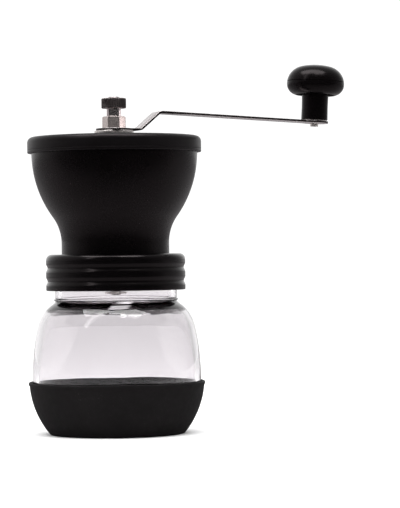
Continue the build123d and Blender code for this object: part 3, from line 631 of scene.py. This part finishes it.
cone_low, cone_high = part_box("inner_burr")
cone_z = (cone_low.z / MM, cone_high.z / MM)
land_top = (burr_exit_radius - 0.3 - burr_slope * 4.0, burr_z[0] + 4.0)
land_foot = (burr_exit_radius - 0.3 + burr_slope, cone_z[0])
cone_bore = 7.0
cone_top_radius = 8.6
inner_burr_outline = [(cone_bore, cone_z[0])] + ladder(land_foot, land_top, 8)
cone_shoulder = (cone_top_radius, cone_z[1] - 0.4)
inner_burr_outline += ladder(land_top, cone_shoulder, 26)
inner_burr_outline += [cone_shoulder, (cone_top_radius - 0.5, cone_z[1]), (cone_bore, cone_z[1])]
feed_grooves = 6
groove_lean = 0.075
feed_depth = 2.2
cone_wall = 0.9
groove_fade = 5.0


def inner_burr_shape(angle, radius, height):
    if radius > cone_bore + 0.01:
        wave = (burr_teeth * (angle - tooth_lean * (height - cone_z[0])) / tau) % 1.0
        radius -= tooth_depth * wave * min(1.0, max(0.0, (land_top[1] + 1.5 - height) / 1.5))
        lap = (feed_grooves * (angle - groove_lean * (height - cone_z[0])) / tau) % 1.0
        rise = min(1.0, max(0.0, (height - land_top[1] + 2.5) / groove_fade))
        rise = rise * min(1.0, (cone_z[1] + 2.0 - height) / groove_fade)
        depth = max(0.0, min(feed_depth, radius - cone_bore - cone_wall))
        radius -= depth * rise * sin(pi * lap) ** 2 * (1.3 - lap)
    return radius, height


inner_burr = lathe(
    "burr_cone", inner_burr_outline, "burr", ["inner_burr"], burr_ceramic, burr_segments,
    inner_burr_shape, corner=22,
)

# ---------------------------------------------------------------------------------------------
# Burr hub and adjusting nut. Both moulded in the collar's plastic. The nut has eight finger hollows.

dress(["burr_hub", "adjusting_nut"], collar_plastic)

# ---------------------------------------------------------------------------------------------
# Lid. A moulded cap in soft satin plastic with a well rounded edge, a fine line above the foot of
# its skirt and a short lip round the hole for the shaft.

lid_plastic = plastic(
    "lid_plastic", (0.0022, 0.0019, 0.0022), (0.0036, 0.0032, 0.0036), 0.3, 0.22, 1300, 0.025
)

lid_low, lid_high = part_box("lid")
lid_radius = lid_high.x / MM
lid_z = (lid_low.z / MM, lid_high.z / MM)
lid_round = 3.0
skirt_bore = mouth_radius + 0.35
disc_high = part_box("seat_disc")[1]
disc_radius = disc_high.x / MM
lid_hole = disc_radius + 0.5
lip_foot = hopper_rim - 2.0
lid_outline = rounded([
    (lid_hole, lip_foot, 0.3), (lid_hole + 1.8, lip_foot, 0.3), (lid_hole + 1.8, hopper_rim, 0.3),
    (skirt_bore, hopper_rim, 0.3), (skirt_bore, lid_z[0], 0.5), (lid_radius, lid_z[0], 0.5),
    (lid_radius, lid_z[0] + 1.5, 0.1), (lid_radius - 0.22, lid_z[0] + 1.65, 0.08),
    (lid_radius, lid_z[0] + 1.8, 0.1),
    (lid_radius, lid_z[1], lid_round), (lid_hole, lid_z[1], 0.8),
], 8)
lid = lathe("lid_cap", lid_outline, "lid", ["lid"], lid_plastic, 192)

# ---------------------------------------------------------------------------------------------
# Seat disc. A keyed steel washer, turned and tumbled, with one half-round notch in its edge.

dress(["seat_disc"], turned_steel)

# ---------------------------------------------------------------------------------------------
# Hex boss. Milled from bright bar, its top corners broken by a turned chamfer, and staked into the
# crank's hub by a round spigot.

milled_steel = steel("milled_steel", (0.66, 0.58, 0.56), 0.12, 420, (1, 1, 9))
hex_flat = 5.5
hex_turn = -22.0
strip_thickness = 1.2
plate_z = (disc_high.z / MM, disc_high.z / MM + strip_thickness)
hex_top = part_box("hex_boss")[1].z / MM
spigot_radius = 4.5
hex_bore = 3.3
hex_corner = hex_flat / cos(radians(30))
hex_outline = rounded([
    (hex_bore, plate_z[0]), (spigot_radius, plate_z[0]), (spigot_radius, plate_z[1]),
    (hex_corner, plate_z[1]), (hex_corner, hex_top - 0.55), (hex_corner - 0.28, hex_top - 0.2),
    (hex_corner - 0.75, hex_top), (hex_bore, hex_top),
])


def hex_shape(angle, radius, height):
    if radius > spigot_radius + 0.1:
        off = (angle - radians(hex_turn)) % (pi / 3) - pi / 6
        flat = hex_flat / cos(off)
        radius = min(radius, flat - 0.12 * max(0.0, 1 - (hex_top - height) / 0.2))
    return radius, height


hex_boss = lathe(
    "hex_nut", hex_outline, "crank", ["hex_boss"], milled_steel, 144, hex_shape, hex_turn, corner=18
)

# ---------------------------------------------------------------------------------------------
# Crank arm. A strip of polished steel, sheared and bent twice, rounded at both ends. Its edges keep
# the darker, rougher face of the shearing, and fine polishing lines run along it.

arm = Finish("crank_steel")
polish = arm.grain(260, 2.0, (0.12, 1, 1))
smears = arm.grain(90, 3.0, (0.3, 1, 1))
crank_steel = arm.made(
    Base_Color=arm.blend(arm.between(smears, 0.3, 0.7), (0.50, 0.46, 0.46), (0.60, 0.56, 0.56)),
    Metallic=0.92,
    Roughness=0.14 + 0.14 * polish + 0.06 * smears,
    Normal=arm.bump(polish, 0.01, 0.5),
)
sheared = Finish("sheared_edge")
tears = sheared.grain(700, 3.0, (1, 1, 0.2))
sheared_edge = sheared.made(
    Base_Color=sheared.blend(tears, (0.035, 0.028, 0.028), (0.09, 0.08, 0.08)),
    Metallic=1.0,
    Roughness=0.30 + 0.2 * tears,
    Normal=sheared.bump(tears, 0.03, 0.6),
)

crank_radius = 118.9
strip_half = 6.0
hub_radius = 9.8
tip_radius = 7.7
joggle_start = 13.7
joggle_run = 11.3
joggle_rise = 9.6
joggle_round = 3.0
arm_fall = radians(2.8)
hub_mid = plate_z[0] + strip_thickness / 2
bend_low = Vector((joggle_start, hub_mid))
bend_high = Vector((joggle_start + joggle_run, hub_mid + joggle_rise))
arm_run = crank_radius - bend_high.x
knob_foot = Vector((crank_radius, bend_high.y - arm_run * sin(arm_fall) / cos(arm_fall)))
tip = knob_foot + Vector((cos(arm_fall), -sin(arm_fall))) * 2 * tip_radius


def bend(before, corner, after, radius, steps=10):
    """The arc that rounds one corner of the strip's middle line."""
    back = (before - corner).normalized()
    ahead = (after - corner).normalized()
    half = back.angle(ahead) / 2
    centre = corner + (back + ahead).normalized() * radius / sin(half)
    first = corner + back * radius / sin(half) * cos(half) - centre
    last = corner + ahead * radius / sin(half) * cos(half) - centre
    begin = atan2(first.y, first.x)
    swing = (atan2(last.y, last.x) - begin + pi) % tau - pi
    turns = [begin + swing * k / steps for k in range(steps + 1)]
    return [centre + radius * Vector((cos(a), sin(a))) for a in turns]


def strip_width_at(x):
    """Half the strip's width: round ends, straight between."""
    half = strip_half if 0 <= x <= crank_radius else 0.0
    if abs(x) < hub_radius:
        half = max(half, sqrt(hub_radius ** 2 - x ** 2))
    if abs(x - crank_radius) < tip_radius:
        half = max(half, sqrt(tip_radius ** 2 - (x - crank_radius) ** 2))
    return half


end_steps = 24
left_end = [-hub_radius * cos(pi * n / (2 * end_steps)) for n in range(end_steps)]
line = [Vector((x, hub_mid)) for x in left_end]
hub_blend = sqrt(hub_radius ** 2 - strip_half ** 2)
line += [Vector((hub_blend * n / 10, hub_mid)) for n in range(11)]
line += bend(Vector((0, hub_mid)), bend_low, bend_high, joggle_round)
line += bend(bend_low, bend_high, tip, joggle_round)
tip_blend = crank_radius - sqrt(tip_radius ** 2 - strip_half ** 2)


def on_arm(x):
    """A point on the long run's middle line."""
    return Vector((x, knob_foot.y - (x - crank_radius) * sin(arm_fall) / cos(arm_fall)))


run_start = bend_high.x + 4
line += [on_arm(run_start + (tip_blend - bend_high.x - 4) * n / 14) for n in range(15)]
line += [on_arm(tip_blend + (crank_radius - tip_blend) * n / 6) for n in range(1, 7)]
for n in range(1, end_steps + 1):
    line.append(on_arm(crank_radius + tip_radius * sin(pi * n / (2 * end_steps))))

arm_mesh = bmesh.new()
half_thick = strip_thickness / 2
edge_round = 0.12
edge_rise = 1 - edge_round / half_thick
rings = []
for n, spot in enumerate(line):
    ahead = (line[min(n + 1, len(line) - 1)] - line[max(n - 1, 0)]).normalized()
    up = Vector((-ahead.y, ahead.x))
    half = strip_width_at(spot.x)
    inner = max(0.0, half - edge_round)
    section = [(inner, 1), (half, edge_rise), (half, -edge_rise), (inner, -1)]
    section += [(-inner, -1), (-half, -edge_rise), (-half, edge_rise), (-inner, 1)]
    ring = []
    for side, rise in section:
        at = spot + up * half_thick * rise
        ring.append(arm_mesh.verts.new(Vector((at.x, side, at.y)) * MM))
    rings.append(ring)
for ring, after in zip(rings, rings[1:]):
    for k in range(8):
        face = arm_mesh.faces.new([ring[k], ring[(k + 1) % 8], after[(k + 1) % 8], after[k]])
        face.material_index = 1 if k in (1, 5) else 0
arm_mesh.faces.new(rings[0])
arm_mesh.faces.new(rings[-1])
crank_arm = finish_mesh("crank_strip", arm_mesh, "crank", ["crank_arm"], crank_steel, corner=50)
crank_arm.data.materials.append(sheared_edge)

# ---------------------------------------------------------------------------------------------
# Knurled nut. Turned from brass, straight knurled round its head and plated in dark nickel. The neck
# is polished, and the plating on the head has worn light in spots.

nickel = Finish("dark_nickel")
knurl_lines = nickel.grain(500, 2.0, (1, 1, 0.2))
nut_foot = hex_top
neck_half = 4.0
neck_top = nut_foot + 4.3
head_top = neck_top + 5.6
head_radius = 6.7
boss_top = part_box("thumb_nut")[1].z / MM
knurl_count = 40
knurl_depth = 0.55
wear = nickel.grain(260, 3.0)
knurled = nickel.blend(nickel.between(wear, 0.45, 0.7), (0.22, 0.19, 0.19), (0.44, 0.40, 0.40))
nut_height = nickel.node("SeparateXYZ", {}, {0: nickel.place()}, out="Z")
head = nickel.between(nut_height, (neck_top - 0.3) * MM, neck_top * MM)
dark_nickel = nickel.made(
    Base_Color=nickel.blend(head, (0.86, 0.78, 0.78), knurled),
    Metallic=0.93,
    Roughness=0.07 + (0.19 + 0.16 * knurl_lines) * head,
    Normal=nickel.bump(knurl_lines, 0.012, 0.5),
)
nut_bore = 2.5
nut_outline = rounded([
    (nut_bore, nut_foot), (neck_half, nut_foot, 0.25), (neck_half, neck_top, 0.2),
    (head_radius, neck_top, 0.55), (head_radius, head_top, 0.75),
    (3.25, head_top, 0.1), (2.9, boss_top - 0.15, 0.15), (0, boss_top),
])
bore_end = boss_top - 2.2
nut_outline += [(0, bore_end), (nut_bore, bore_end)]


def nut_shape(angle, radius, height):
    if radius > neck_half + 0.6 and neck_top - 0.01 < height < head_top + 0.01:
        wave = abs((knurl_count * angle / tau) % 1.0 - 0.5) * 2
        away = min(height - neck_top, head_top - height)
        outward = min(1.0, max(0.0, (radius - neck_half - 0.6) / 1.5))
        radius -= knurl_depth * wave * outward * min(1.0, 0.4 + away)
    return radius, height


thumb_nut = lathe(
    "knurled_nut", nut_outline, "thumb_nut", ["thumb_nut"], dark_nickel, knurl_count * 8,
    nut_shape, corner=28,
)

# ---------------------------------------------------------------------------------------------
# Knob. A hollow-bottomed mushroom moulded in two parts that meet in a fine seam round its head. It
# turns on a shouldered rivet that stands square to the sloping arm.

knob_plastic = plastic(
    "knob_plastic", (0.0012, 0.0009, 0.0010), (0.0022, 0.0017, 0.0019), 0.16, 0.15, 1100, 0.018
)

knob_spot = Vector((knob_foot.x, 0, knob_foot.y)) * MM
knob_place = Matrix.Translation(knob_spot) @ Matrix.Rotation(arm_fall, 4, "Y")
knob_radius = 16.0
crown_curve = 10.0
crown_turn = 76.0
under_curve = 6.3
stem_radius = 7.4
stem_foot = half_thick + 0.5
stem_top = stem_foot + 13.9
equator = stem_top + under_curve
seam_rise = 1.3
hollow = 3.6
crown_at = (knob_radius - crown_curve, equator)
under_at = (knob_radius - under_curve, equator)
seam_turn = degrees(asin(seam_rise / crown_curve))
seam_z = equator + seam_rise
seam_radius = crown_at[0] + crown_curve * cos(radians(seam_turn))
crown_edge = arc(crown_at, crown_curve, crown_turn, crown_turn, 1)[0]
top_curve = crown_edge[0] / cos(radians(crown_turn))
top_at = (0, crown_edge[1] - top_curve * sin(radians(crown_turn)))
rivet_radius = 3.0
rivet_top = stem_foot + 22.0
knob_bore = rivet_radius + 0.05
pocket_radius = 5.2
pocket_z = rivet_top - 0.1
knob_outline = [(knob_bore, stem_foot), (stem_radius - 0.4, stem_foot)]
knob_outline += [(stem_radius, stem_foot + 0.4), (stem_radius - 0.1, stem_foot + 7.0)]
knob_outline += [(stem_radius, stem_top - 1.0), (stem_radius + 0.1, stem_top + 1.5)]
knob_outline += arc((stem_radius + 1.8, stem_top + hollow - 1.7), 1.7, 180, 90, 6)
knob_outline += arc((under_at[0] - 1.2, stem_top + hollow - 1.9), 1.9, 90, 15, 6)
knob_outline += [(under_at[0] + 0.9, stem_top + 0.45), (under_at[0] + 1.5, stem_top + 0.1)]
knob_outline += arc(under_at, under_curve, -76, 0, 20)
knob_outline += arc(crown_at, crown_curve, 1, seam_turn - 1.2, 6)
knob_outline += [(seam_radius - 0.22, seam_z - 0.06), (seam_radius - 2.4, seam_z - 0.06)]
knob_outline += [(seam_radius - 2.4, seam_z - 1.6), (pocket_radius, seam_z - 1.6)]
knob_outline += [(pocket_radius, pocket_z), (knob_bore, pocket_z)]
knob_body = lathe(
    "knob_stem_and_bowl", knob_outline, "knob", ["knob_body"], knob_plastic, 160, place=knob_place
)

cap_ceiling = rivet_top + 2.4
cap_outline = [(0, cap_ceiling), (seam_radius - 2.6, cap_ceiling), (seam_radius - 2.6, seam_z)]
cap_outline += [(seam_radius - 0.25, seam_z), (seam_radius - 0.08, seam_z + 0.12)]
cap_outline += arc(crown_at, crown_curve, seam_turn + 1.2, crown_turn, 24)
cap_outline += arc(top_at, top_curve, crown_turn, 90, 10)[1:]
knob_cap = lathe(
    "knob_crown", cap_outline, "knob", ["knob_cap"], knob_plastic, 160, place=knob_place
)

dress(["knob_axle", "knob_washer"], turned_steel)

# ---------------------------------------------------------------------------------------------
# Floor. A wide sheet of matt white board. Shiny pieces mirror it faintly near by, and not at all
# where it lies in front, as if a black cloth hung there.

azimuth = radians(-22.0)
facing = Vector((-sin(azimuth), cos(azimuth), 0))
across = Vector((cos(azimuth), sin(azimuth), 0))
paper = Finish("floor_board")
shiny = paper.node("LightPath", out="Is Glossy Ray")
through = paper.node("LightPath", out="Is Transmission Ray")
mirrored = paper.node("Math", {"operation": "SUBTRACT", "use_clamp": True}, {0: shiny, 1: through})
dot = {"operation": "DOT_PRODUCT"}
back = paper.node("VectorMath", dot, {0: paper.place(), 1: facing}, out="Value")
near = paper.blend(paper.between(back, -0.45, 0.05), (0.008, 0.008, 0.008), (0.25, 0.24, 0.245))
white_board = paper.blend(paper.grain(3, 3.0), (0.90, 0.90, 0.90), (0.92, 0.92, 0.92))
floor_board = paper.made(
    Base_Color=paper.blend(mirrored, white_board, near),
    Roughness=0.8 + 0.1 * paper.grain(40),
    Specular_IOR_Level=0.0,
)
floor_mesh = bpy.data.meshes.new("floor")
reach = 200.0
floor_corners = [(-reach, -reach, 0), (reach, -reach, 0), (reach, reach, 0), (-reach, reach, 0)]
floor_mesh.from_pydata(floor_corners, [], [(0, 1, 2, 3)])
floor = bpy.data.objects.new("floor", floor_mesh)
bpy.context.collection.objects.link(floor)
floor_mesh.materials.append(floor_board)

# ---------------------------------------------------------------------------------------------
# Studio. Matt pieces see an even white surround, shiny ones see it black in front, grey at the sides
# and white behind. One wide soft box hangs overhead, a tall narrow one and a small one stand high in
# front, and a very large one far above only whitens what is matt.

class Surround(Finish):
    """The world's nodes, made and fed in the same way as a material's."""

    def __init__(self, name):
        world = bpy.data.worlds.new(name)
        world.use_nodes = True
        bpy.context.scene.world = world
        self.tree = world.node_tree
        self.shader = self.tree.nodes["Background"]


studio = Surround("studio")
direction = studio.node("TexCoord", out="Generated")
behind = studio.node("VectorMath", dot, {0: direction, 1: facing}, out="Value")
greys = (
    (0.0, 0.02), (0.17, 0.025), (0.28, 0.20), (0.37, 0.34), (0.50, 0.45),
    (0.75, 0.62), (0.90, 0.85), (0.97, 1.0),
)
stops = [(place, (grey, grey, grey, 1)) for place, grey in greys]
front_to_back = studio.node("ValToRGB", {"stops": stops}, {0: 0.5 * behind + 0.5}, out="Color")
rightward = studio.node("VectorMath", dot, {0: direction, 1: across}, out="Value")
shade = 1.0 - 0.55 * studio.between(rightward, 0.25, 0.95)
seen = studio.node("VectorMath", {"operation": "MULTIPLY"}, {0: front_to_back, 1: shade})
matt = studio.node("LightPath", out="Is Diffuse Ray")
surround = studio.blend(matt, seen, (1.25, 1.25, 1.25))
studio.feed(studio.shader, {"Color": surround, "Strength": 1.12})


middle = Vector((0.02, 0, 0.10))


def soft_box(name, place, width, height, glow, mirrored=True):
    """A rectangular lamp turned to the grinder, its glow in units of the surround's white."""
    lamp = bpy.data.lights.new(name, "AREA")
    lamp.shape = "RECTANGLE"
    lamp.size = width
    lamp.size_y = height
    lamp.energy = glow * pi * width * height
    box = bpy.data.objects.new(name, lamp)
    box.location = place
    box.rotation_euler = (middle - place).to_track_quat("-Z", "Y").to_euler()
    box.visible_glossy = mirrored
    bpy.context.collection.objects.link(box)


def above(swing, tilt, distance):
    """A point over the grinder: swing degrees right of the camera's side, tilt above level."""
    level = across * sin(radians(swing)) - facing * cos(radians(swing))
    return middle + distance * (level * cos(radians(tilt)) + Vector((0, 0, sin(radians(tilt)))))


soft_box("overhead_box", above(-15, 80, 1.0), 1.2, 0.45, 6.0)
soft_box("left_box", above(-47, 46, 1.0), 0.12, 0.9, 3.0)
soft_box("right_box", above(18, 62, 1.0), 0.10, 0.14, 11.0)
soft_box("floor_wash", above(0, 90, 6.0), 14.0, 14.0, 0.05, mirrored=False)

# ---------------------------------------------------------------------------------------------
# Camera. A long lens held level at the height of the collar's top, with a slight roll.

view_height = 0.27432
distance = 1.34
lens_at = across * 0.0456 - facing * distance
camera_data = bpy.data.cameras.new("camera")
camera_data.sensor_width = 36.0
camera_data.lens = camera_data.sensor_width * distance / view_height
camera_data.dof.use_dof = False
camera_data.clip_end = 500.0
camera = bpy.data.objects.new("camera", camera_data)
camera.location = (lens_at.x, lens_at.y, 0.0964)
camera.rotation_euler = (Matrix.Rotation(azimuth, 4, "Z") @ Matrix.Rotation(radians(90), 4, "X")
                         @ Matrix.Rotation(radians(-0.7), 4, "Z")).to_euler()
bpy.context.collection.objects.link(camera)
bpy.context.scene.camera = camera
bpy.context.scene.view_settings.view_transform = "Standard"
